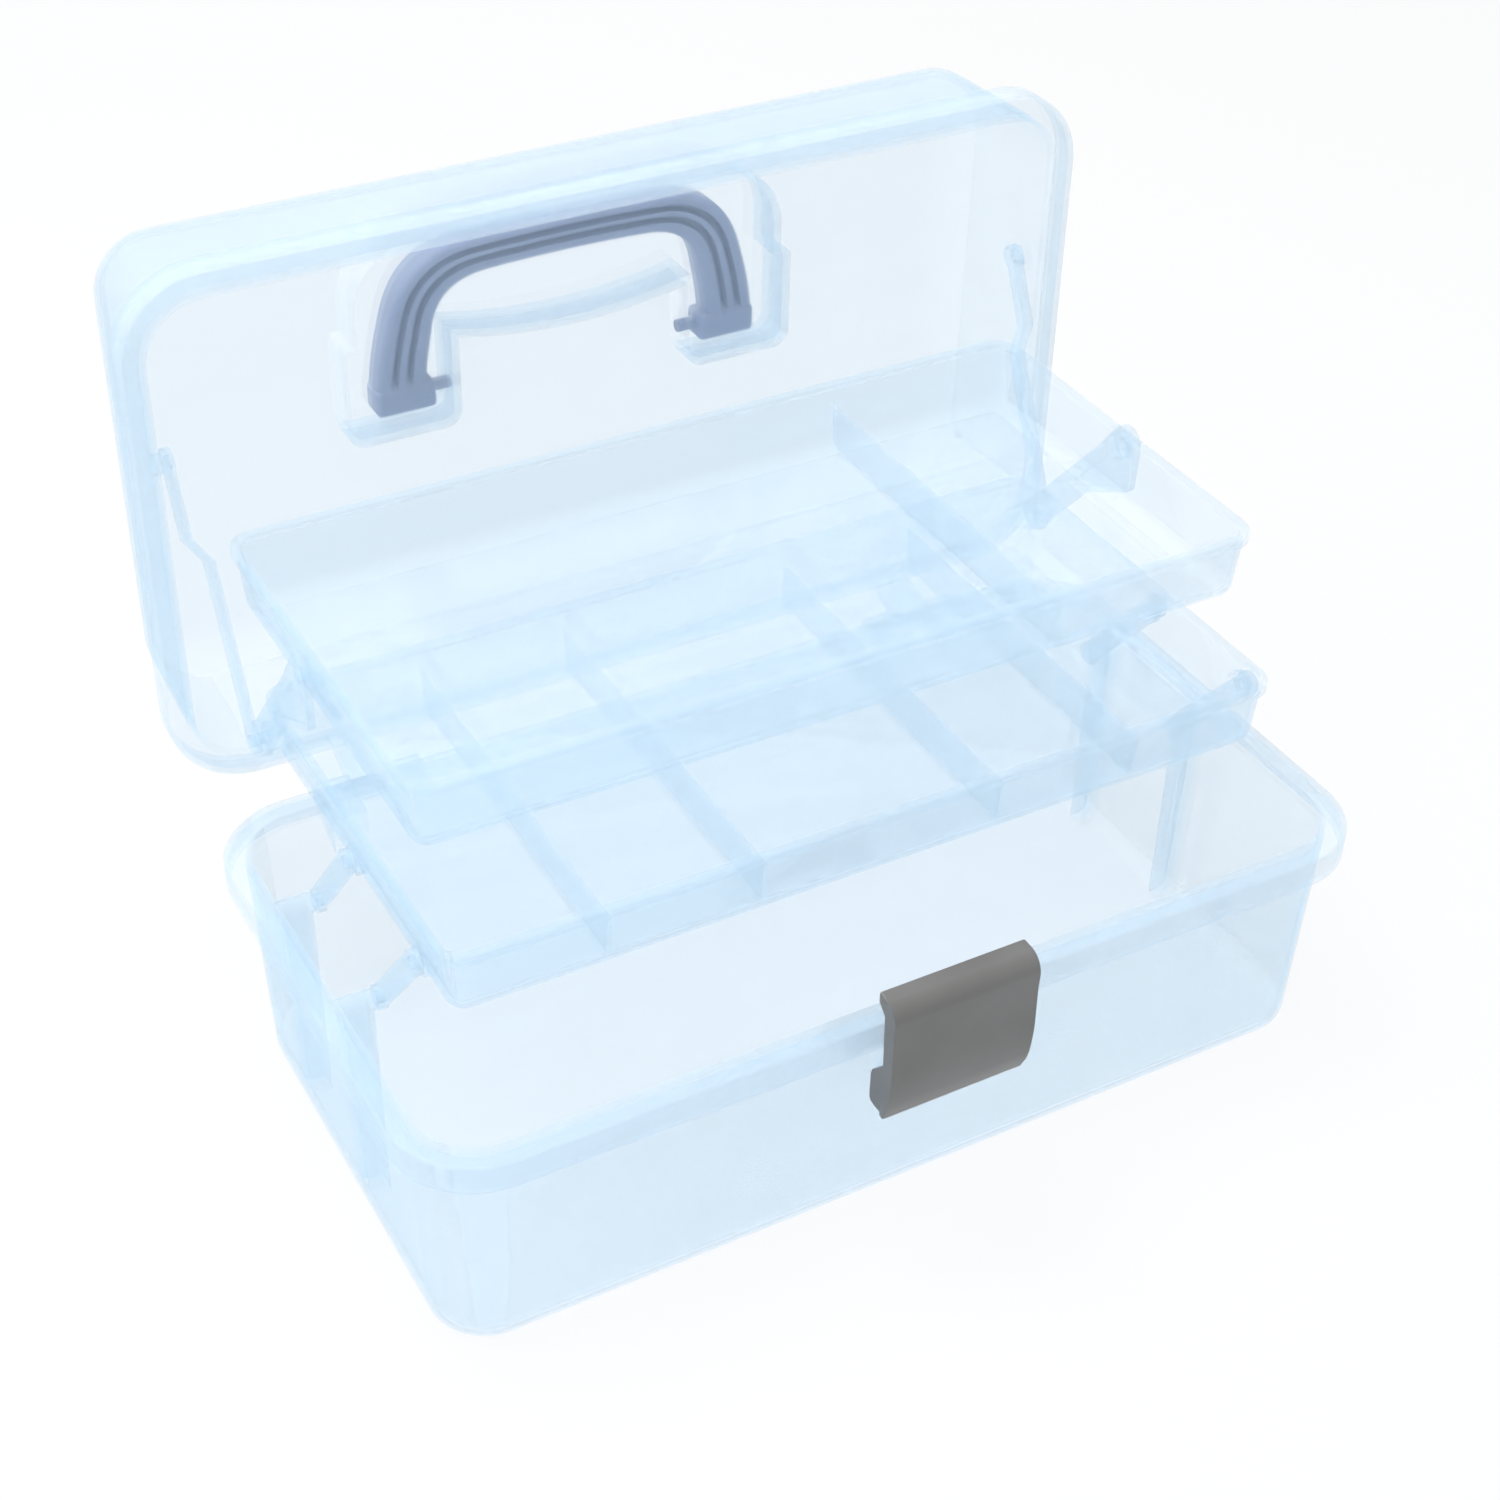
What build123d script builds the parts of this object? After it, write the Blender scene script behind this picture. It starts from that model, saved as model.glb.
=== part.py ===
from build123d import *
from math import cos, hypot, radians, sin
import os

# A folding organizer box with two lift-out trays, modelled open, in millimetres.
# X runs along the box, the latch faces -Y, the lid hinge is at +Y and Z is up.
# The origin is on the underside, below the middle of the base.

# The two shells.
LENGTH = 330.0
DEPTH = 179.0
BASE_HEIGHT = 83.0
LID_HEIGHT = 61.0
WALL = 2.0
FLOOR = 2.4
DRAFT = 2.2
RIM_OVERHANG = 6.4
RIM_HEIGHT = 9.5
RIM_SKIN = 1.8
RIM_CORNER_R = 28.0
RIM_EDGE_R = 1.5
BASE_EDGE_R = 6.0
LID_EDGE_R = 14.0
RIM_GAP = 0.3

# The lid hinge.
OPEN_ANGLE = 90.0
HINGE_OUT = 8.0
HINGE_DROP = 10.0
HINGE_INSET = 60.0
KNUCKLE_R = 4.2
KNUCKLE_LENGTH = 12.0
HINGE_PIN_R = 1.6
GUSSET_HEIGHT = 13.0
LID_ARM_GAP = 0.5

# Fits and gaps between pieces.
PIN_CLEARANCE = 0.08
PIN_PRESS = 0.02
SIDE_GAP = 0.3

# The trays.
TRAY_END_ROOM = 23.5
TRAY_SIDE_ROOM = 18.0
TRAY_HEIGHT = 24.0
TRAY_WALL = 1.6
TRAY_FLOOR = 1.8
TRAY_DRAFT = 5.0
TRAY_BEAD = 1.3
TRAY_BEAD_HEIGHT = 3.0
TRAY_CORNER_R = 9.0
TRAY_EDGE_R = 5.2
MIDDLE_TRAY_Y = 15.9
MIDDLE_TRAY_RISE = 45.7
TOP_TRAY_SHIFT = 18.8
TOP_TRAY_RISE = 44.6
DIVIDER = 1.5
DIVIDER_DROP = 6.5
MIDDLE_DIVIDERS = (-90.0, -40.0, 41.5, 91.0)
TOP_DIVIDERS = (70.0,)

# The arms and links at each end.
ARM_THICKNESS = 2.5
ARM_EYE_R = 4.0
ARM_WIDTH = 7.0
UPPER_EYE_R = 6.0
UPPER_ARM_WIDTH = 10.0
WEB_RECESS = 0.8
WEB_RIB = 2.0
PIVOT_R = 2.0
PAD_R = 5.0
PAD_STAND = 0.5
PAD_ROOT = 8.0
BOSS_R = 3.4
POST_WIDTH = 7.0
POST_SETBACK = 1.5
REAR_POST_Y = 42.0
POST_DROP = 4.0
POST_PITCH = 49.0
LOWER_ARM_LEAN = 32.0
LOWER_PIVOT_DROP = 10.7
UPPER_PIVOT_Y = 65.1
UPPER_PIVOT_DROP = 13.7
TOP_PIVOT_Y = 1.3
TOP_PIVOT_DROP = 6.3
HEAD_CORNER = (-2.5, -14.0)
HEAD_CORNER_R = 3.0
HEAD_BACK = 0.55
LID_PIVOT_IN = 11.0
LID_PIVOT_RISE = 122.5
LINK_WIDTH = 6.5
LINK_EYE_R = 4.5
LINK_STEP = 5.1
LINK_STEP_AT = 0.64
LINK_STEP_RUN = 8.0

# The handle and its pocket in the lid.
HANDLE_WIDTH = 140.0
HANDLE_FRONT = -54.5
HANDLE_THICKNESS = 11.0
HANDLE_LEG = 19.0
HANDLE_GRIP = 17.0
HANDLE_CORNER_R = 24.0
HANDLE_INNER_R = 8.0
HANDLE_BOW = 2.0
HANDLE_PIVOT_Y = -4.0
HANDLE_RECESS = 1.5
HANDLE_RIB = 2.6
HANDLE_GROOVE = 4.0
HANDLE_GROOVE_DEPTH = 7.0
HANDLE_PIN_R = 2.2
POCKET_DEPTH = 14.0
POCKET_MARGIN = 6.0
POCKET_WELL_MARGIN = 10.0
POCKET_WELL_INNER = 7.0
POCKET_WELL_END = 10.0
POCKET_CORNER_R = 22.0
POCKET_CURVE_R = 4.0
POCKET_SCOOP = 5.0
FINGER_ROOM = 11.0

# The latch on the front wall.
LATCH_WIDTH = 49.5
LATCH_PIVOT_OUT = 4.0
LATCH_DROP = 22.5
LATCH_PIN_R = 1.8
LATCH_CHEEK = 4.2
LATCH_FACE = 7.6
LATCH_SKIN = 5.0
LATCH_LOWER_SKIN = 2.5
LATCH_TOP = 39.4
LATCH_NOSE_OUT = 2.0
LATCH_NOSE_DEPTH = 4.5
LATCH_BEND = 13.0
LATCH_BOTTOM = 7.5
LATCH_TUCK = 3.1
LATCH_EDGE_R = 0.9
LATCH_ROLL_R = 2.6
CHEEK_BACK = 3.9
CHEEK_DOWN = 6.0
CHEEK_R = 2.0
LUG_WIDTH = 5.0
LUG_R = 3.6
LUG_ROOT = 10.0

SIDES = {"left": -1, "right": 1}
HINGE_X = LENGTH / 2 - HINGE_INSET
HINGE_Y = DEPTH / 2 + HINGE_OUT
HINGE_Z = BASE_HEIGHT - HINGE_DROP
TRAY_LENGTH = LENGTH - 2 * TRAY_END_ROOM
TRAY_DEPTH = DEPTH - 2 * TRAY_SIDE_ROOM
middle_place = (MIDDLE_TRAY_Y, BASE_HEIGHT + MIDDLE_TRAY_RISE)
top_place = (middle_place[0] + TOP_TRAY_SHIFT, middle_place[1] + TOP_TRAY_RISE)
wall_corner_r = RIM_CORNER_R - RIM_OVERHANG

# Each shell's rim plane: its Z runs from the rim to the closed end.
base_plane = Plane(origin=(0, 0, BASE_HEIGHT), x_dir=(1, 0, 0), z_dir=(0, 0, -1))
lid_axis = Vector(0, sin(radians(OPEN_ANGLE)), cos(radians(OPEN_ANGLE)))
lid_back = Vector(0, cos(radians(OPEN_ANGLE)), -sin(radians(OPEN_ANGLE)))
lid_origin = Vector(0, HINGE_Y, HINGE_Z) - lid_back * HINGE_Y + lid_axis * (HINGE_DROP + RIM_GAP)
lid_plane = Plane(origin=lid_origin, x_dir=(1, 0, 0), z_dir=lid_axis)


def lid_side_plane(x):
    """A plane across the lid at x, with the lid's own Y and Z as its axes."""
    return Plane(origin=lid_origin + Vector(x, 0, 0), x_dir=lid_back, z_dir=(1, 0, 0))


# Distances from the middle plane to the layers that the arms and links lie in.
tray_face = TRAY_LENGTH / 2 + PAD_STAND
arm_in = tray_face + SIDE_GAP
arm_out = arm_in + ARM_THICKNESS
link_in = arm_out + SIDE_GAP
link_out = link_in + ARM_THICKNESS
link_top_in = link_in + LINK_STEP
link_top_out = link_top_in + ARM_THICKNESS
lid_boss_face = link_top_out + SIDE_GAP

# Pivots, as (Y, Z) in the open pose, and the lid's in its own frame.
rear_post = (REAR_POST_Y, BASE_HEIGHT - POST_DROP)
front_post = (REAR_POST_Y - POST_PITCH, BASE_HEIGHT - POST_DROP)
rear_tray_pivot = (rear_post[0] - LOWER_ARM_LEAN, middle_place[1] - LOWER_PIVOT_DROP)
front_tray_pivot = (front_post[0] - LOWER_ARM_LEAN, middle_place[1] - LOWER_PIVOT_DROP)
upper_pivot = (middle_place[0] + UPPER_PIVOT_Y, middle_place[1] - UPPER_PIVOT_DROP)
top_tray_pivot = (top_place[0] + TOP_PIVOT_Y, top_place[1] - TOP_PIVOT_DROP)
lid_pivot = (HINGE_Y - LID_PIVOT_RISE, LID_PIVOT_IN)
lid_pivot_point = lid_origin + lid_back * lid_pivot[0] + lid_axis * lid_pivot[1]
latch_pivot = (-DEPTH / 2 - LATCH_PIVOT_OUT, BASE_HEIGHT - LATCH_DROP)
handle_z = LID_HEIGHT - HANDLE_RECESS - HANDLE_THICKNESS / 2


def drafted_box(plane, size, height, corner_r, taper, edge_r):
    """A rounded box that narrows along the plane's Z, with its far edge rounded."""
    with BuildPart() as box:
        with BuildSketch(plane):
            RectangleRounded(size[0], size[1], corner_r)
        extrude(amount=height, taper=taper)
        fillet(box.edges().group_by(Axis(plane.origin, plane.z_dir))[-1], edge_r)
    return box.part


def shell_solid(plane, height, inset, edge_r):
    """The solid inside a shell's outer wall, or inside its cavity when it is set in."""
    size = (LENGTH - 2 * (RIM_OVERHANG + inset), DEPTH - 2 * (RIM_OVERHANG + inset))
    return drafted_box(plane, size, height, wall_corner_r - inset, DRAFT, edge_r - inset)


def rim_band(plane):
    """The band round a shell's rim: a flat top with a skirt turned along the wall."""
    with BuildPart() as band:
        with BuildSketch(plane):
            RectangleRounded(LENGTH, DEPTH, RIM_CORNER_R)
        extrude(amount=RIM_HEIGHT)
        fillet(band.edges().group_by(Axis(plane.origin, plane.z_dir))[0], RIM_EDGE_R)
        with BuildSketch(plane.offset(RIM_SKIN)):
            RectangleRounded(LENGTH - 2 * RIM_SKIN, DEPTH - 2 * RIM_SKIN, RIM_CORNER_R - RIM_SKIN)
        extrude(amount=RIM_HEIGHT, mode=Mode.SUBTRACT)
    return band.part


def save(piece, name):
    piece.part.label = name
    export_step(piece.part, f"parts/{name}.step")


os.makedirs("parts", exist_ok=True)


base_outer = shell_solid(base_plane, BASE_HEIGHT, 0, BASE_EDGE_R)
lid_outer = shell_solid(lid_plane, LID_HEIGHT, 0, LID_EDGE_R)

# The posts inside the base's end walls, each with a boss and a pin for a lower arm.
with BuildPart() as posts:
    for side in SIDES.values():
        for post in (rear_post, front_post):
            with BuildSketch(Plane.YZ.offset(side * (link_in + POST_SETBACK))):
                with Locations(post):
                    Circle(POST_WIDTH / 2)
                with Locations((post[0], post[1] / 2)):
                    Rectangle(POST_WIDTH, post[1])
            extrude(amount=side * (LENGTH / 2 - link_in))
            with BuildSketch(Plane.YZ.offset(side * link_in)):
                with Locations(post):
                    Circle(BOSS_R)
            extrude(amount=side * 2 * POST_SETBACK)
            with BuildSketch(Plane.YZ.offset(side * arm_in)):
                with Locations(post):
                    Circle(PIVOT_R)
            extrude(amount=side * (link_in - arm_in + POST_SETBACK))
    add(base_outer, mode=Mode.INTERSECT)

with BuildPart() as base:
    add(base_outer)
    add(rim_band(base_plane))
    add(shell_solid(base_plane, BASE_HEIGHT - FLOOR, WALL, BASE_EDGE_R), mode=Mode.SUBTRACT)
    add(posts.part)
    for side in SIDES.values():
        for step in (-1, 1):
            knuckle_x = side * HINGE_X + step * (KNUCKLE_LENGTH + SIDE_GAP)
            with BuildSketch(Plane.YZ.offset(knuckle_x)):
                with Locations((HINGE_Y, HINGE_Z)):
                    Circle(KNUCKLE_R)
                with Locations((DEPTH / 2 - RIM_OVERHANG, HINGE_Z - GUSSET_HEIGHT / 2)):
                    Rectangle(WALL, GUSSET_HEIGHT)
                make_hull()
            extrude(amount=KNUCKLE_LENGTH / 2, both=True)
            with BuildSketch(Plane.YZ.offset(knuckle_x)):
                with Locations((HINGE_Y, HINGE_Z)):
                    Circle(HINGE_PIN_R - PIN_PRESS)
            extrude(amount=KNUCKLE_LENGTH / 2, both=True, mode=Mode.SUBTRACT)
        lug_x = side * (LATCH_WIDTH / 2 - LATCH_CHEEK - SIDE_GAP - LUG_WIDTH / 2)
        with BuildSketch(Plane.YZ.offset(lug_x)):
            with Locations(latch_pivot):
                Circle(LUG_R)
            with Locations((-DEPTH / 2 + RIM_OVERHANG + WALL / 2, latch_pivot[1] + LUG_ROOT / 4)):
                Rectangle(WALL, LUG_ROOT)
            make_hull()
        extrude(amount=LUG_WIDTH / 2, both=True)
        with BuildSketch(Plane.YZ.offset(lug_x)):
            with Locations(latch_pivot):
                Circle(LATCH_PIN_R + PIN_CLEARANCE)
        extrude(amount=LUG_WIDTH / 2, both=True, mode=Mode.SUBTRACT)

# The pocket that the handle folds into, as a face in the lid's plane.
pocket_half = HANDLE_WIDTH / 2 + POCKET_MARGIN
well_half = HANDLE_WIDTH / 2 + POCKET_WELL_MARGIN
well_inner = HANDLE_WIDTH / 2 - HANDLE_LEG - POCKET_WELL_INNER
pocket_front = HANDLE_FRONT - POCKET_MARGIN
pocket_step = HANDLE_FRONT + HANDLE_GRIP + FINGER_ROOM
well_end = HANDLE_PIVOT_Y + POCKET_WELL_END
with BuildSketch(mode=Mode.PRIVATE) as pocket_face:
    with BuildLine():
        Polyline(
            (-well_inner, pocket_step), (-well_inner, well_end), (-well_half, well_end),
            (-well_half, pocket_step), (-pocket_half, pocket_step), (-pocket_half, pocket_front),
            (pocket_half, pocket_front), (pocket_half, pocket_step), (well_half, pocket_step),
            (well_half, well_end), (well_inner, well_end), (well_inner, pocket_step),
        )
        ThreePointArc(
            (well_inner, pocket_step), (0, pocket_step + POCKET_SCOOP), (-well_inner, pocket_step)
        )
    make_face()
    fillet(pocket_face.vertices().group_by(Axis.Y)[0], POCKET_CORNER_R)
    fillet(pocket_face.vertices().group_by(Axis.Y)[-1], POCKET_CURVE_R)

with BuildPart() as lid:
    add(lid_outer)
    add(rim_band(lid_plane))
    add(shell_solid(lid_plane, LID_HEIGHT - WALL, WALL, LID_EDGE_R), mode=Mode.SUBTRACT)
    with BuildSketch(lid_plane.offset(LID_HEIGHT - POCKET_DEPTH - WALL)):
        add(pocket_face.sketch)
        offset(amount=WALL)
    extrude(amount=POCKET_DEPTH + WALL / 2)
    with BuildSketch(lid_plane.offset(LID_HEIGHT - POCKET_DEPTH)):
        add(pocket_face.sketch)
    extrude(amount=2 * POCKET_DEPTH, mode=Mode.SUBTRACT)
    with BuildSketch(lid_side_plane(0)):
        with Locations((HANDLE_PIVOT_Y, handle_z)):
            Circle(HANDLE_PIN_R + PIN_CLEARANCE)
    extrude(amount=well_inner + WALL, both=True, mode=Mode.SUBTRACT)
    for side in SIDES.values():
        with BuildSketch(lid_side_plane(side * lid_boss_face)):
            with Locations(lid_pivot):
                Circle(BOSS_R)
        extrude(amount=side * (LENGTH / 2 - RIM_OVERHANG - WALL / 2 - lid_boss_face))
        with BuildSketch(lid_side_plane(side * HINGE_X)):
            with Locations((HINGE_Y, -HINGE_DROP - RIM_GAP)):
                Circle(KNUCKLE_R)
            with Locations((DEPTH / 2 + LID_ARM_GAP + WALL / 2, RIM_HEIGHT / 2 + RIM_EDGE_R)):
                Rectangle(WALL, RIM_HEIGHT - 2 * RIM_EDGE_R)
            make_hull()
            with Locations((DEPTH / 2, RIM_HEIGHT / 2 + RIM_EDGE_R)):
                Rectangle(2 * WALL, RIM_HEIGHT - 2 * RIM_EDGE_R)
        extrude(amount=KNUCKLE_LENGTH / 2, both=True)
        with BuildSketch(lid_side_plane(side * HINGE_X)):
            with Locations((HINGE_Y, -HINGE_DROP - RIM_GAP)):
                Circle(HINGE_PIN_R + PIN_CLEARANCE)
        extrude(amount=KNUCKLE_LENGTH / 2, both=True, mode=Mode.SUBTRACT)

save(base, "base")
save(lid, "lid")
for name, side in SIDES.items():
    with BuildPart() as hinge_pin:
        with BuildSketch(Plane.YZ.offset(side * HINGE_X)):
            with Locations((HINGE_Y, HINGE_Z)):
                Circle(HINGE_PIN_R)
        extrude(amount=1.5 * KNUCKLE_LENGTH + SIDE_GAP, both=True)
    save(hinge_pin, f"hinge_pin_{name}")


def tray(middle, divider_places, pins):
    """A tray with a beaded rim, fixed dividers and a pad and pin at each pivot."""
    centre_y, rim = middle
    rim_plane = Plane(origin=(0, centre_y, rim), x_dir=(1, 0, 0), z_dir=(0, 0, -1))
    size = (TRAY_LENGTH - 2 * TRAY_BEAD, TRAY_DEPTH - 2 * TRAY_BEAD)
    inner = (size[0] - 2 * TRAY_WALL, size[1] - 2 * TRAY_WALL)
    corner_r = TRAY_CORNER_R - TRAY_BEAD
    outer_solid = drafted_box(rim_plane, size, TRAY_HEIGHT, corner_r, TRAY_DRAFT, TRAY_EDGE_R)
    inner_solid = drafted_box(
        rim_plane, inner, TRAY_HEIGHT - TRAY_FLOOR, corner_r - TRAY_WALL, TRAY_DRAFT, TRAY_EDGE_R - TRAY_WALL
    )
    with BuildPart() as walls:
        with BuildSketch(Plane.XY.offset(rim - TRAY_HEIGHT)):
            with Locations([(x, centre_y) for x in divider_places]):
                Rectangle(DIVIDER, TRAY_DEPTH)
        extrude(amount=TRAY_HEIGHT - DIVIDER_DROP)
        add(outer_solid, mode=Mode.INTERSECT)
    with BuildPart() as body:
        add(outer_solid)
        with BuildSketch(rim_plane):
            RectangleRounded(TRAY_LENGTH, TRAY_DEPTH, TRAY_CORNER_R)
        extrude(amount=TRAY_BEAD_HEIGHT)
        for side in SIDES.values():
            for place, end in pins:
                with BuildSketch(Plane.YZ.offset(side * tray_face)):
                    with Locations(place):
                        Circle(PAD_R)
                extrude(amount=-side * PAD_ROOT)
                with BuildSketch(Plane.YZ.offset(side * tray_face)):
                    with Locations(place):
                        Circle(PIVOT_R)
                extrude(amount=side * (end - tray_face))
        add(inner_solid, mode=Mode.SUBTRACT)
        add(walls.part)
    return body


middle_pins = ((rear_tray_pivot, arm_out), (front_tray_pivot, arm_out), (upper_pivot, link_out))
middle_tray = tray(middle_place, MIDDLE_DIVIDERS, middle_pins)
top_tray = tray(top_place, TOP_DIVIDERS, ((top_tray_pivot, arm_out),))
save(middle_tray, "middle_tray")
save(top_tray, "top_tray")


def lower_arm(side, post, tray_end):
    """A flat bar from a post in the base to the middle tray."""
    with BuildPart() as arm:
        with BuildSketch(Plane.YZ.offset(side * arm_in)):
            with Locations(post, tray_end):
                Circle(ARM_WIDTH / 2)
            make_hull()
            with Locations(post, tray_end):
                Circle(ARM_EYE_R)
            with Locations(post, tray_end):
                Circle(PIVOT_R + PIN_CLEARANCE, mode=Mode.SUBTRACT)
        extrude(amount=side * ARM_THICKNESS)
    return arm


def upper_arm(side):
    """The arm that carries the top tray: a stem and a wide head with a thin web."""
    top = Vector(*top_tray_pivot)
    bottom = Vector(*upper_pivot)
    corner = top + Vector(*HEAD_CORNER)
    back = top + (bottom - top) * HEAD_BACK
    with BuildPart() as arm:
        with BuildSketch(Plane.YZ.offset(side * arm_in)):
            with Locations(top, bottom):
                Circle(UPPER_ARM_WIDTH / 2)
            make_hull()
            with Locations(top, bottom):
                Circle(UPPER_EYE_R)
        extrude(amount=side * ARM_THICKNESS)
        with BuildSketch(Plane.YZ.offset(side * arm_in)):
            with Locations(top):
                Circle(UPPER_EYE_R)
            with Locations(corner, back):
                Circle(HEAD_CORNER_R)
            make_hull()
        extrude(amount=side * ARM_THICKNESS)
        with BuildSketch(Plane.YZ.offset(side * arm_out)):
            with Locations(top, corner, back):
                Circle(HEAD_CORNER_R - WEB_RIB)
            make_hull()
            with Locations(top):
                Circle(UPPER_EYE_R, mode=Mode.SUBTRACT)
        extrude(amount=-side * WEB_RECESS, mode=Mode.SUBTRACT)
        with BuildSketch(Plane.YZ.offset(side * arm_in)):
            with Locations(top, bottom):
                Circle(PIVOT_R + PIN_CLEARANCE)
        extrude(amount=side * ARM_THICKNESS, mode=Mode.SUBTRACT)
    return arm


def lid_link(side):
    """The link from the middle tray to the lid, stepped outward past the upper arm."""
    rise = lid_pivot_point - Vector(0, *upper_pivot)
    length = hypot(rise.Y, rise.Z)
    along = rise.normalized()
    edge_plane = Plane(origin=(0, *upper_pivot), x_dir=along, z_dir=along.cross(Vector(1, 0, 0)))
    step_start = LINK_STEP_AT * length
    step_end = step_start + LINK_STEP_RUN
    with BuildPart() as link:
        with BuildSketch(edge_plane):
            with BuildLine():
                Polyline(
                    (0, side * link_in), (step_start, side * link_in), (step_end, side * link_top_in),
                    (length, side * link_top_in), (length, side * link_top_out),
                    (step_end, side * link_top_out), (step_start, side * link_out), (0, side * link_out),
                    close=True,
                )
            make_face()
        extrude(amount=LINK_WIDTH / 2, both=True)
        for place, inner in ((upper_pivot, link_in), ((lid_pivot_point.Y, lid_pivot_point.Z), link_top_in)):
            with BuildSketch(Plane.YZ.offset(side * inner)):
                with Locations(place):
                    Circle(LINK_EYE_R)
            extrude(amount=side * ARM_THICKNESS)
            with BuildSketch(Plane.YZ.offset(side * inner)):
                with Locations(place):
                    Circle(PIVOT_R + PIN_CLEARANCE)
            extrude(amount=side * ARM_THICKNESS, mode=Mode.SUBTRACT)
    return link


for name, side in SIDES.items():
    save(lower_arm(side, rear_post, rear_tray_pivot), f"lower_rear_arm_{name}")
    save(lower_arm(side, front_post, front_tray_pivot), f"lower_front_arm_{name}")
    save(upper_arm(side), f"upper_arm_{name}")
    save(lid_link(side), f"lid_link_{name}")


def handle_outline(half, front, corner_r):
    """A filled arch with a bowed front, open towards the pivots."""
    with BuildSketch(mode=Mode.PRIVATE) as arch:
        with BuildLine():
            ThreePointArc((-half, front), (0, front - HANDLE_BOW), (half, front))
            Polyline((half, front), (half, HANDLE_PIVOT_Y), (-half, HANDLE_PIVOT_Y), (-half, front))
        make_face()
        fillet(arch.vertices().group_by(Axis.Y)[0], corner_r)
    return arch.sketch


grip_inner = HANDLE_WIDTH / 2 - HANDLE_LEG
handle_outer = handle_outline(HANDLE_WIDTH / 2, HANDLE_FRONT, HANDLE_CORNER_R)
handle_inner = handle_outline(grip_inner, HANDLE_FRONT + HANDLE_GRIP, HANDLE_INNER_R)
groove_end = HANDLE_RIB + HANDLE_GROOVE

with BuildPart() as handle:
    with BuildSketch(lid_plane.offset(handle_z - HANDLE_THICKNESS / 2)):
        add(handle_outer)
        add(handle_inner, mode=Mode.SUBTRACT)
    extrude(amount=HANDLE_THICKNESS)
    for side in SIDES.values():
        with BuildSketch(lid_side_plane(side * grip_inner)):
            with Locations((HANDLE_PIVOT_Y, handle_z)):
                Circle(HANDLE_THICKNESS / 2)
        extrude(amount=side * HANDLE_LEG)
    with BuildSketch(lid_plane.offset(handle_z - HANDLE_THICKNESS / 2)):
        add(offset(handle_outer, -HANDLE_RIB, mode=Mode.PRIVATE))
        add(offset(handle_outer, -groove_end, mode=Mode.PRIVATE), mode=Mode.SUBTRACT)
        add(offset(handle_inner, groove_end, mode=Mode.PRIVATE))
        add(offset(handle_inner, HANDLE_RIB, mode=Mode.PRIVATE), mode=Mode.SUBTRACT)
    extrude(amount=HANDLE_GROOVE_DEPTH, mode=Mode.SUBTRACT)
    for side in SIDES.values():
        with BuildSketch(lid_side_plane(side * grip_inner)):
            with Locations((HANDLE_PIVOT_Y, handle_z)):
                Circle(HANDLE_PIN_R)
        extrude(amount=-side * (grip_inner - well_inner + WALL))
save(handle, "handle")

# The latch: a hooked plate, then the two cheeks that carry its pins.
front_y = latch_pivot[0] - LATCH_FACE
inner_y = front_y + LATCH_SKIN
bend_z = latch_pivot[1] + LATCH_BEND
top_z = latch_pivot[1] + LATCH_TOP
bottom = (front_y + LATCH_TUCK, latch_pivot[1] - LATCH_BOTTOM)
belly_y = inner_y - LATCH_SKIN / 2 + LATCH_EDGE_R
cheek_y = latch_pivot[0] + CHEEK_BACK
cheek_in = inner_y - LATCH_SKIN / 2
with BuildPart() as latch:
    with BuildSketch(Plane.YZ.offset(-LATCH_WIDTH / 2)) as plate:
        with BuildLine():
            ThreePointArc((front_y, bend_z), (belly_y - LATCH_LOWER_SKIN, latch_pivot[1]), bottom)
            Polyline(
                bottom, (bottom[0] + LATCH_LOWER_SKIN, bottom[1]), (belly_y, latch_pivot[1]),
                (inner_y, bend_z), (inner_y, top_z - LATCH_NOSE_DEPTH - LATCH_NOSE_OUT),
                (latch_pivot[0] + LATCH_NOSE_OUT, top_z - LATCH_NOSE_DEPTH),
                (latch_pivot[0] + LATCH_NOSE_OUT, top_z - LATCH_EDGE_R), (front_y, top_z),
                (front_y, bend_z),
            )
        make_face()
        fillet(plate.vertices().sort_by(Axis.Y)[-1], LATCH_ROLL_R)
    extrude(amount=LATCH_WIDTH)
    for side in SIDES.values():
        with BuildSketch(Plane.YZ.offset(side * (LATCH_WIDTH / 2 - LATCH_CHEEK))) as cheek:
            with BuildLine():
                Polyline(
                    (cheek_in, bend_z), (inner_y, bend_z), (cheek_y, latch_pivot[1] + CHEEK_DOWN),
                    (cheek_y, latch_pivot[1] - CHEEK_DOWN), (cheek_in, latch_pivot[1] - CHEEK_DOWN), close=True,
                )
            make_face()
            fillet(cheek.vertices().group_by(Axis.X)[-1], CHEEK_R)
        extrude(amount=side * LATCH_CHEEK)
        with BuildSketch(Plane.YZ.offset(side * (LATCH_WIDTH / 2 - LATCH_CHEEK))):
            with Locations(latch_pivot):
                Circle(LATCH_PIN_R)
        extrude(amount=-side * (SIDE_GAP + LUG_WIDTH))
save(latch, "latch")
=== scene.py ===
from math import cos, radians, sin
import bmesh
import bpy
from mathutils import Matrix, Vector


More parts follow.
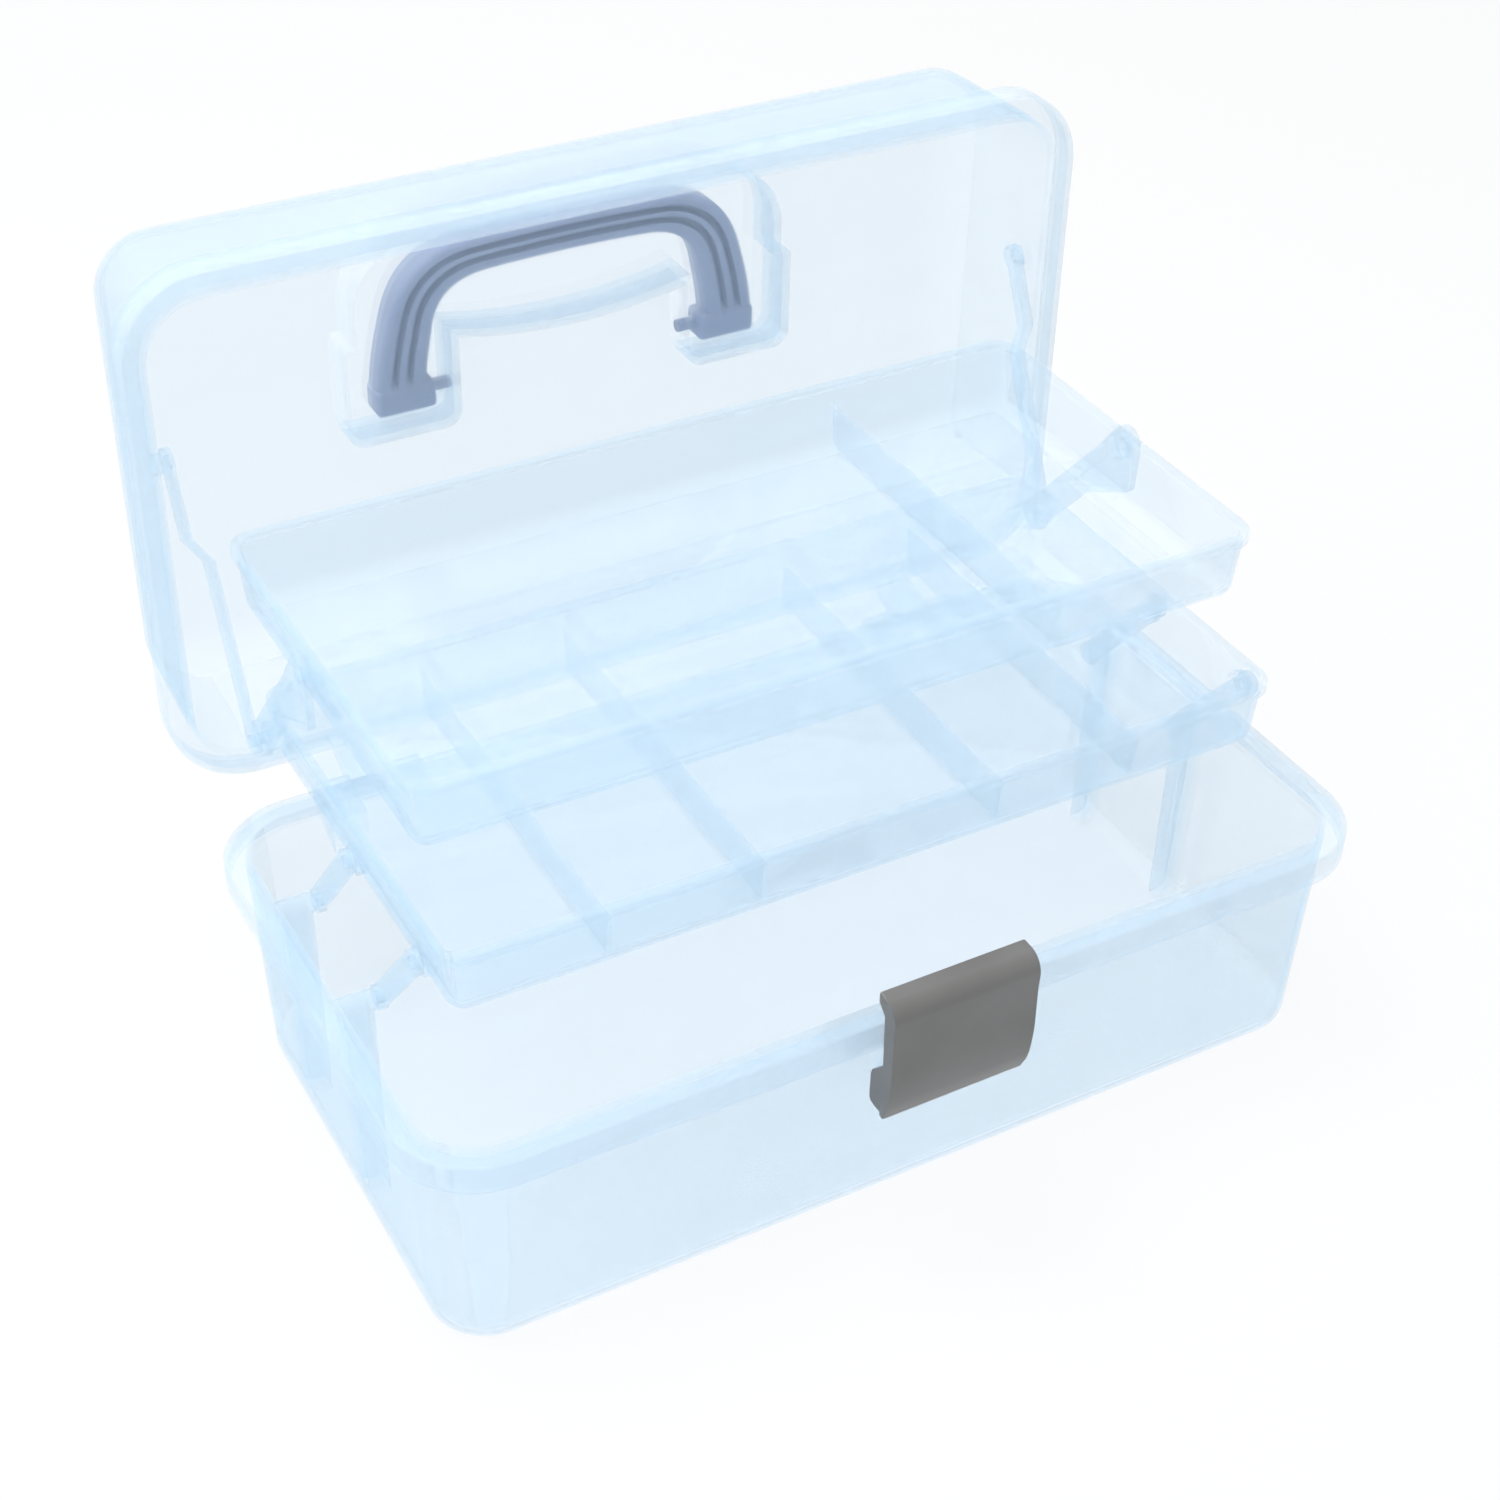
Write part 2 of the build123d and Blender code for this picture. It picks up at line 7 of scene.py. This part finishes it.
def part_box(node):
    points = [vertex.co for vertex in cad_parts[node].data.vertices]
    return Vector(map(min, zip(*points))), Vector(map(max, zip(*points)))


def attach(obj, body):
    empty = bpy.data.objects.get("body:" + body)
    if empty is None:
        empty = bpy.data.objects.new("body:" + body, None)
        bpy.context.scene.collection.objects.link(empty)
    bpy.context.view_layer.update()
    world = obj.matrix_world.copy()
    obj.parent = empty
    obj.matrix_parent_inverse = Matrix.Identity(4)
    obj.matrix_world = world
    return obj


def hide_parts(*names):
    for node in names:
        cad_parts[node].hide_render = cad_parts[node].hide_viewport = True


MM = 0.001
LIGHT_BOUNCES = 32
SHARP_CORNER = radians(35)
NOISE_LOW, NOISE_HIGH = 0.3, 0.7
STUB_SIDES = 24

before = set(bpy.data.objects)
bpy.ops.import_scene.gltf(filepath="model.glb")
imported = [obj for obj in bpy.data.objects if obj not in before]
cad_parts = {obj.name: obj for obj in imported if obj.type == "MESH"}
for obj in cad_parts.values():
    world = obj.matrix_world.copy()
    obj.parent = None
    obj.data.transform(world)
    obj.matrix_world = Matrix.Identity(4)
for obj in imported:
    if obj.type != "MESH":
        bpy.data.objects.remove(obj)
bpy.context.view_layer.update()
scene = bpy.context.scene
scene.view_settings.view_transform = "Standard"
scene.cycles.max_bounces = LIGHT_BOUNCES
scene.cycles.transmission_bounces = LIGHT_BOUNCES
scene.cycles.transparent_max_bounces = LIGHT_BOUNCES


def place_camera():
    """The camera stands where the photograph was taken from, with its lens and its tilt."""
    stand = Vector((-0.3245, -0.5388, 0.5919))
    right = Vector((0.8754, -0.4829, 0.0199))
    up = Vector((0.2783, 0.5374, 0.7961))
    forward = Vector((0.3952, 0.6914, -0.6048))
    lens = bpy.data.cameras.new("photo_camera")
    lens.sensor_width = 36
    lens.lens = 61.36
    camera = bpy.data.objects.new("photo_camera", lens)
    turn = Matrix((right, up, -forward)).transposed().to_4x4()
    camera.matrix_world = Matrix.Translation(stand) @ turn
    scene.collection.objects.link(camera)
    scene.camera = camera


def new_material(name):
    """A node material that holds a Principled shader, joined to its output."""
    material = bpy.data.materials.new(name)
    material.use_nodes = True
    nodes = material.node_tree.nodes
    nodes.clear()
    shader = nodes.new("ShaderNodeBsdfPrincipled")
    output = nodes.new("ShaderNodeOutputMaterial")
    material.node_tree.links.new(shader.outputs["BSDF"], output.inputs["Surface"])
    return material, shader


def object_noise(material, scale, detail, stretch=(1, 1, 1)):
    """Noise that stays with the piece, stretched along its axes."""
    nodes, links = material.node_tree.nodes, material.node_tree.links
    place = nodes.new("ShaderNodeTexCoord")
    mapping = nodes.new("ShaderNodeMapping")
    mapping.inputs["Scale"].default_value = stretch
    noise = nodes.new("ShaderNodeTexNoise")
    noise.inputs["Scale"].default_value = scale
    noise.inputs["Detail"].default_value = detail
    links.new(place.outputs["Object"], mapping.inputs["Vector"])
    links.new(mapping.outputs["Vector"], noise.inputs["Vector"])
    return noise.outputs["Fac"]


def blend_colours(material, noise, low, high):
    """A colour between two colours, following the noise."""
    blend = material.node_tree.nodes.new("ShaderNodeValToRGB")
    for stop, place, colour in zip(blend.color_ramp.elements, (NOISE_LOW, NOISE_HIGH), (low, high)):
        stop.position = place
        stop.color = (*colour, 1)
    material.node_tree.links.new(noise, blend.inputs["Fac"])
    return blend.outputs["Color"]


def blend_numbers(material, noise, low, high):
    """A number between two numbers, following the noise."""
    blend = material.node_tree.nodes.new("ShaderNodeMapRange")
    blend.inputs["From Min"].default_value = NOISE_LOW
    blend.inputs["From Max"].default_value = NOISE_HIGH
    blend.inputs["To Min"].default_value = low
    blend.inputs["To Max"].default_value = high
    material.node_tree.links.new(noise, blend.inputs["Value"])
    return blend.outputs["Result"]


def roughen(material, shader, noise, strength, height):
    """Raises the surface by a small height that follows the noise."""
    nodes, links = material.node_tree.nodes, material.node_tree.links
    bump = nodes.new("ShaderNodeBump")
    bump.inputs["Strength"].default_value = strength
    bump.inputs["Distance"].default_value = height
    links.new(noise, bump.inputs["Height"])
    links.new(bump.outputs["Normal"], shader.inputs["Normal"])


def clear_blue_plastic(name, opacity, depth):
    """Clear pale blue plastic, a little milky: it turns bluer where light runs along a wall."""
    material, shader = new_material(name)
    nodes, links = material.node_tree.nodes, material.node_tree.links
    shader.inputs["IOR"].default_value = 1.25
    shader.inputs["Alpha"].default_value = opacity
    flow = object_noise(material, scale=14, detail=3, stretch=(1, 2.5, 2.5))
    ripple = object_noise(material, scale=60, detail=2)
    colour = blend_colours(material, flow, (0.74, 0.885, 1), (0.79, 0.91, 1))
    links.new(colour, shader.inputs["Base Color"])
    links.new(blend_numbers(material, flow, 0.6, 0.52), shader.inputs["Transmission Weight"])
    links.new(blend_numbers(material, flow, 0.04, 0.09), shader.inputs["Roughness"])
    roughen(material, shader, ripple, strength=0.06, height=0.4 * MM)
    volume = nodes.new("ShaderNodeVolumeAbsorption")
    volume.inputs["Color"].default_value = (0.4, 0.78, 1, 1)
    volume.inputs["Density"].default_value = depth
    links.new(volume.outputs["Volume"], nodes["Material Output"].inputs["Volume"])
    return material


def satin_plastic(name, dark, light, gloss_side):
    """Opaque moulded plastic with a fine grained skin, rougher by 0.1 where the noise is high."""
    material, shader = new_material(name)
    links = material.node_tree.links
    cloud = object_noise(material, scale=35, detail=4)
    grain = object_noise(material, scale=2600, detail=2)
    links.new(blend_colours(material, cloud, dark, light), shader.inputs["Base Color"])
    links.new(blend_numbers(material, cloud, gloss_side, gloss_side + 0.1), shader.inputs["Roughness"])
    roughen(material, shader, grain, strength=0.2, height=0.06 * MM)
    return material


def drawn_steel(name):
    """Drawn steel rod, with fine lines along its length."""
    material, shader = new_material(name)
    links = material.node_tree.links
    shader.inputs["Metallic"].default_value = 1
    lines = object_noise(material, scale=900, detail=3, stretch=(0.04, 1, 1))
    colour = blend_colours(material, lines, (0.45, 0.46, 0.47), (0.62, 0.63, 0.64))
    links.new(colour, shader.inputs["Base Color"])
    links.new(blend_numbers(material, lines, 0.25, 0.42), shader.inputs["Roughness"])
    return material


def seen_straight(nodes, links):
    """1 for what the camera sees, also in a gloss or through clear plastic."""
    path = nodes.new("ShaderNodeLightPath")
    seen = path.outputs["Is Camera Ray"]
    for ray in ("Is Glossy Ray", "Is Transmission Ray"):
        either = nodes.new("ShaderNodeMath")
        either.operation = "MAXIMUM"
        links.new(seen, either.inputs[0])
        links.new(path.outputs[ray], either.inputs[1])
        seen = either.outputs["Value"]
    return seen


def soft_room():
    """A plain soft room that the camera sees as white."""
    world = bpy.data.worlds.new("soft_room")
    world.use_nodes = True
    scene.world = world
    nodes, links = world.node_tree.nodes, world.node_tree.links
    nodes.clear()
    room = nodes.new("ShaderNodeBackground")
    room.inputs["Color"].default_value = (0.96, 0.98, 1, 1)
    room.inputs["Strength"].default_value = 0.6
    white = nodes.new("ShaderNodeBackground")
    white.inputs["Color"].default_value = (1, 1, 1, 1)
    mix = nodes.new("ShaderNodeMixShader")
    output = nodes.new("ShaderNodeOutputWorld")
    links.new(seen_straight(nodes, links), mix.inputs["Fac"])
    links.new(room.outputs["Background"], mix.inputs[1])
    links.new(white.outputs["Background"], mix.inputs[2])
    links.new(mix.outputs["Shader"], output.inputs["Surface"])


def hang_lamp(name, place, power):
    """A square lamp that looks at the middle of the box."""
    lamp = bpy.data.lights.new(name, "AREA")
    lamp.size = 1.0
    lamp.energy = power
    holder = bpy.data.objects.new(name, lamp)
    aim = Vector((0, 0.03, 0.12)) - Vector(place)
    holder.matrix_world = Matrix.Translation(place) @ aim.to_track_quat("-Z", "Y").to_matrix().to_4x4()
    scene.collection.objects.link(holder)


def lay_floor():
    """A pale floor just under the box, white to the camera but for the shadow."""
    reach, drop = 4, 0.4 * MM
    builder = bmesh.new()
    bmesh.ops.create_grid(builder, x_segments=1, y_segments=1, size=reach,
                          matrix=Matrix.Translation((0, 0, -drop)))
    mesh = bpy.data.meshes.new("floor")
    builder.to_mesh(mesh)
    builder.free()
    floor = bpy.data.objects.new("floor", mesh)
    scene.collection.objects.link(floor)
    material = bpy.data.materials.new("pale_floor")
    material.use_nodes = True
    nodes, links = material.node_tree.nodes, material.node_tree.links
    nodes.clear()
    matt = nodes.new("ShaderNodeBsdfDiffuse")
    matt.inputs["Color"].default_value = (0.85, 0.87, 0.9, 1)
    white = nodes.new("ShaderNodeEmission")
    share = nodes.new("ShaderNodeMath")
    share.operation = "MULTIPLY"
    share.inputs[1].default_value = 0.85
    mix = nodes.new("ShaderNodeMixShader")
    output = nodes.new("ShaderNodeOutputMaterial")
    links.new(seen_straight(nodes, links), share.inputs[0])
    links.new(share.outputs["Value"], mix.inputs["Fac"])
    links.new(matt.outputs["BSDF"], mix.inputs[1])
    links.new(white.outputs["Emission"], mix.inputs[2])
    links.new(mix.outputs["Shader"], output.inputs["Surface"])
    mesh.materials.append(material)


def new_piece(name, mesh_code, material, node):
    """A piece that rides with the CAD node's body and replaces it, smooth but for its corners."""
    builder = bmesh.new()
    mesh_code(builder)
    bmesh.ops.recalc_face_normals(builder, faces=builder.faces)
    mesh = bpy.data.meshes.new(name)
    builder.to_mesh(mesh)
    builder.free()
    for face in mesh.polygons:
        face.use_smooth = True
    mesh.set_sharp_from_angle(angle=SHARP_CORNER)
    piece = bpy.data.objects.new(name, mesh)
    scene.collection.objects.link(piece)
    mesh.materials.append(material)
    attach(piece, node)
    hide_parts(node)


def arc(centre, radius, start, end, steps):
    """Points on a circle between two angles in degrees, with both ends."""
    turns = [radians(start + (end - start) * step / steps) for step in range(steps + 1)]
    return [(centre[0] + radius * cos(turn), centre[1] + radius * sin(turn)) for turn in turns]


def curve(start, control, end, steps):
    """Points on a curve that leaves the start and meets the end along their lines to a control point."""
    shares = [step / steps for step in range(steps)]
    return [tuple((1 - t) ** 2 * a + 2 * t * (1 - t) * b + t * t * c for a, b, c in zip(start, control, end))
            for t in shares]


def bridge_rings(builder, rings):
    """A closed tube through rings of points, with flat ends."""
    loops = []
    for ring in rings:
        corners = [builder.verts.new(point) for point in ring]
        loops.append([builder.edges.new(pair) for pair in zip(corners, corners[1:] + corners[:1])])
    for loop, after in zip(loops, loops[1:]):
        bmesh.ops.bridge_loops(builder, edges=loop + after)
    for end in (loops[0], loops[-1]):
        bmesh.ops.contextual_create(builder, geom=end)


def extrude_outline(builder, outline, start, end):
    """A solid with one outline in Y and Z, drawn out along X."""
    profile = builder.faces.new([builder.verts.new((start, y, z)) for y, z in outline])
    drawn = bmesh.ops.extrude_face_region(builder, geom=[profile])["geom"]
    corners = [item for item in drawn if isinstance(item, bmesh.types.BMVert)]
    bmesh.ops.translate(builder, vec=(end - start, 0, 0), verts=corners)


def pivot_stub(builder, radius, start, end, pivot):
    """A round stub along X between two places, on a pivot's line."""
    place = Matrix.Translation(((start + end) / 2, *pivot)) @ Matrix.Rotation(radians(90), 4, "Y")
    bmesh.ops.create_cone(builder, cap_ends=True, segments=STUB_SIDES, radius1=radius, radius2=radius,
                          depth=abs(end - start), matrix=place)


def bevel_edges(builder, edges, width, steps):
    """A bevel of some steps on the given edges."""
    bmesh.ops.bevel(builder, geom=edges, offset=width, segments=steps, profile=0.5, affect="EDGES",
                    material=-1)


def rounded_block(builder, middle, size, edge, steps):
    """A block with its edges rounded."""
    place = Matrix.Translation(middle) @ Matrix.Diagonal(size).to_4x4()
    corners = bmesh.ops.create_cube(builder, size=1, matrix=place)["verts"]
    bevel_edges(builder, list({line for corner in corners for line in corner.link_edges}), edge, steps)


def hooked_plate(builder, outline, half, trim):
    """The latch's plate. Its faces have no normals yet, so the bevel trims only the ends' back corners."""
    left, right = ([builder.verts.new((x, y, z)) for y, z in outline] for x in (-half, half))
    for here in range(len(outline)):
        there = (here + 1) % len(outline)
        builder.faces.new((left[here], left[there], right[there], right[here]))
    builder.faces.new(left)
    builder.faces.new(list(reversed(right)))
    level = 0.1 * MM
    ends = [edge for edge in builder.edges if abs(edge.verts[0].co.x - edge.verts[1].co.x) < level]
    bevel_edges(builder, ends, trim, 3)


def whole_arch(foot, knee, shoulder, corner, bow, crown):
    """An arch from foot to foot: legs that lean inward, round shoulders and a bowed grip."""
    shares = [1 - step / 10 for step in range(11)]
    grip = [(bow[0] * share, crown - (crown - bow[1]) * share ** 2) for share in shares]
    side = curve(foot, knee, shoulder, 10) + curve(shoulder, corner, bow, 16) + grip
    return side + [(-x, z) for x, z in reversed(side[:-1])]


def handle_section(width, depth, groove):
    """Across the handle: rounded edges and two grooves in the face towards the box."""
    edge, half_groove, floor_share = 2.4 * MM, 1.3 * MM, 0.7
    points = arc((edge, edge), edge, 180, 270, 5)
    for middle in (0.33 * width, 0.62 * width):
        points += [(middle - half_groove, 0), (middle - floor_share * half_groove, groove),
                   (middle + floor_share * half_groove, groove), (middle + half_groove, 0)]
    points += arc((width - edge, edge), edge, 270, 360, 5)
    points += arc((width - edge, depth - edge), edge, 0, 90, 5)
    points += arc((edge, depth - edge), edge, 90, 180, 5)
    return points


def fold_down_handle(builder):
    """The arch with its two grooves, the foot blocks and the pivot stubs."""
    low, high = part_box("handle")
    half = (high[0] - low[0]) / 2
    front, depth = low[1], high[1] - low[1]
    pivot = (front + depth / 2, low[2] + depth / 2)
    crown = high[2] - pivot[1]
    set_back, leg_end, knee = 0.2 * MM, -3 * MM, 10 * MM
    groove_run, groove_depth = 3 * MM, 3.5 * MM
    foot_top, foot_inner, foot_edge = 4.5 * MM, 49 * MM, 2 * MM
    well_wall, stub_radius, stub_root = 42.5 * MM, 2.2 * MM, 2 * MM

    outer = whole_arch(foot=(half - set_back, leg_end), knee=(half - set_back, knee),
                       shoulder=(0.93 * half, 26 * MM), corner=(0.85 * half, crown - 2 * MM),
                       bow=(36 * MM, crown - 0.9 * MM), crown=crown)
    inner = whole_arch(foot=(0.75 * half, leg_end), knee=(0.74 * half, knee),
                       shoulder=(0.7 * half, 22 * MM), corner=(0.67 * half, crown - 14 * MM),
                       bow=(28 * MM, crown - 13.3 * MM), crown=crown - 12.7 * MM)
    rings = []
    for (outer_x, outer_z), (inner_x, inner_z) in zip(outer, inner):
        edge = Vector((outer_x, 0, outer_z))
        across = Vector((inner_x, 0, inner_z)) - edge
        grooved = min(1, max(0, (outer_z - foot_top) / groove_run))
        ring = []
        for along, inward in handle_section(across.length, depth - 2 * set_back, grooved * groove_depth):
            place = edge + across.normalized() * along
            ring.append((place.x, front + set_back + inward, pivot[1] + place.z))
        rings.append(ring)
    bridge_rings(builder, rings)

    for side in (-1, 1):
        size = Vector((half - foot_inner, depth, depth / 2 + foot_top))
        middle = Vector((side * (half + foot_inner) / 2, pivot[0], pivot[1] + (foot_top - depth / 2) / 2))
        rounded_block(builder, middle, size, foot_edge, 4)
        pivot_stub(builder, stub_radius, side * (foot_inner + stub_root), side * well_wall, pivot)


def hooked_latch(builder):
    """The plate with its rolled top and its nose, then the cheeks and their pins."""
    low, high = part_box("latch")
    half = (high[0] - low[0]) / 2
    face, top, bottom = low[1], high[2], low[2]
    pivot_y, pivot_z = face + 7.6 * MM, bottom + 7.5 * MM
    skin, nose, crease = 5 * MM, 9.6 * MM, pivot_z + 13 * MM
    roll, hollow, trim = 6 * MM, 0.25 * MM, 0.7 * MM
    roll_z = top - 0.9 * MM - roll

    outline = [(face + nose, top - 4.5 * MM), (face + nose, top - 1 * MM),
               (face + nose - 0.6 * MM, top - 0.3 * MM)]
    outline += arc((face + roll, roll_z), roll, 90, 180, 12)
    outline += [(face + hollow, roll_z - 5 * MM), (face + hollow, roll_z - 10 * MM), (face, crease),
                (face + 0.1 * MM, crease - 4 * MM), (face + 0.5 * MM, crease - 8 * MM),
                (face + 1.2 * MM, pivot_z), (face + 2.3 * MM, pivot_z - 4 * MM), (face + 3.7 * MM, bottom),
                (face + 6 * MM, bottom + 0.3 * MM), (face + 3.5 * MM, pivot_z), (face + skin, crease),
                (face + skin, top - 6.5 * MM)]
    hooked_plate(builder, outline, half, trim)

    cheek, cheek_back, corner = 4.2 * MM, pivot_y + 3.9 * MM, 2 * MM
    set_in, pin_root, pin_reach, pin_radius = 0.3 * MM, 1 * MM, 5.3 * MM, 1.8 * MM
    flank = [(face + 2.6 * MM, crease - 1 * MM), (face + skin, crease),
             (cheek_back - 0.6 * MM, pivot_z + 6.8 * MM)]
    flank += arc((cheek_back - corner, pivot_z + 4.4 * MM), corner, 30, 0, 3)
    flank += arc((cheek_back - corner, pivot_z - 4 * MM), corner, 0, -90, 5)
    flank += [(face + 3.2 * MM, pivot_z - 6 * MM)]
    for side in (-1, 1):
        extrude_outline(builder, flank, side * (half - set_in), side * (half - cheek))
        pivot_stub(builder, pin_radius, side * (half - pin_root), side * (half - cheek - pin_reach),
                   (pivot_y, pivot_z))


def dress(material, *names):
    """Gives the named pieces one material."""
    for name in names:
        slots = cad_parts[name].data.materials
        slots.clear()
        slots.append(material)


place_camera()
soft_room()
hang_lamp("key_light", (-0.4, 0.3, 1.5), 18)
hang_lamp("fill_light", (-1.2, -0.8, 0.7), 3)
lay_floor()

shell_plastic = clear_blue_plastic("shell_plastic", opacity=0.29, depth=20)
tray_plastic = clear_blue_plastic("tray_plastic", opacity=0.27, depth=20)
arm_plastic = clear_blue_plastic("arm_plastic", opacity=0.38, depth=22)
handle_plastic = satin_plastic("handle_plastic", (0.37, 0.38, 0.51), (0.43, 0.44, 0.58), 0.38)
latch_plastic = satin_plastic("latch_plastic", (0.14, 0.137, 0.133), (0.175, 0.172, 0.168), 0.33)
pin_steel = drawn_steel("pin_steel")

dress(shell_plastic, "base", "lid")
dress(tray_plastic, "middle_tray", "top_tray")
for side in ("left", "right"):
    dress(arm_plastic, f"lower_rear_arm_{side}", f"lower_front_arm_{side}")
    dress(arm_plastic, f"upper_arm_{side}", f"lid_link_{side}")
    dress(pin_steel, f"hinge_pin_{side}")
new_piece("fold_down_handle", fold_down_handle, handle_plastic, "handle")
new_piece("hooked_latch", hooked_latch, latch_plastic, "latch")
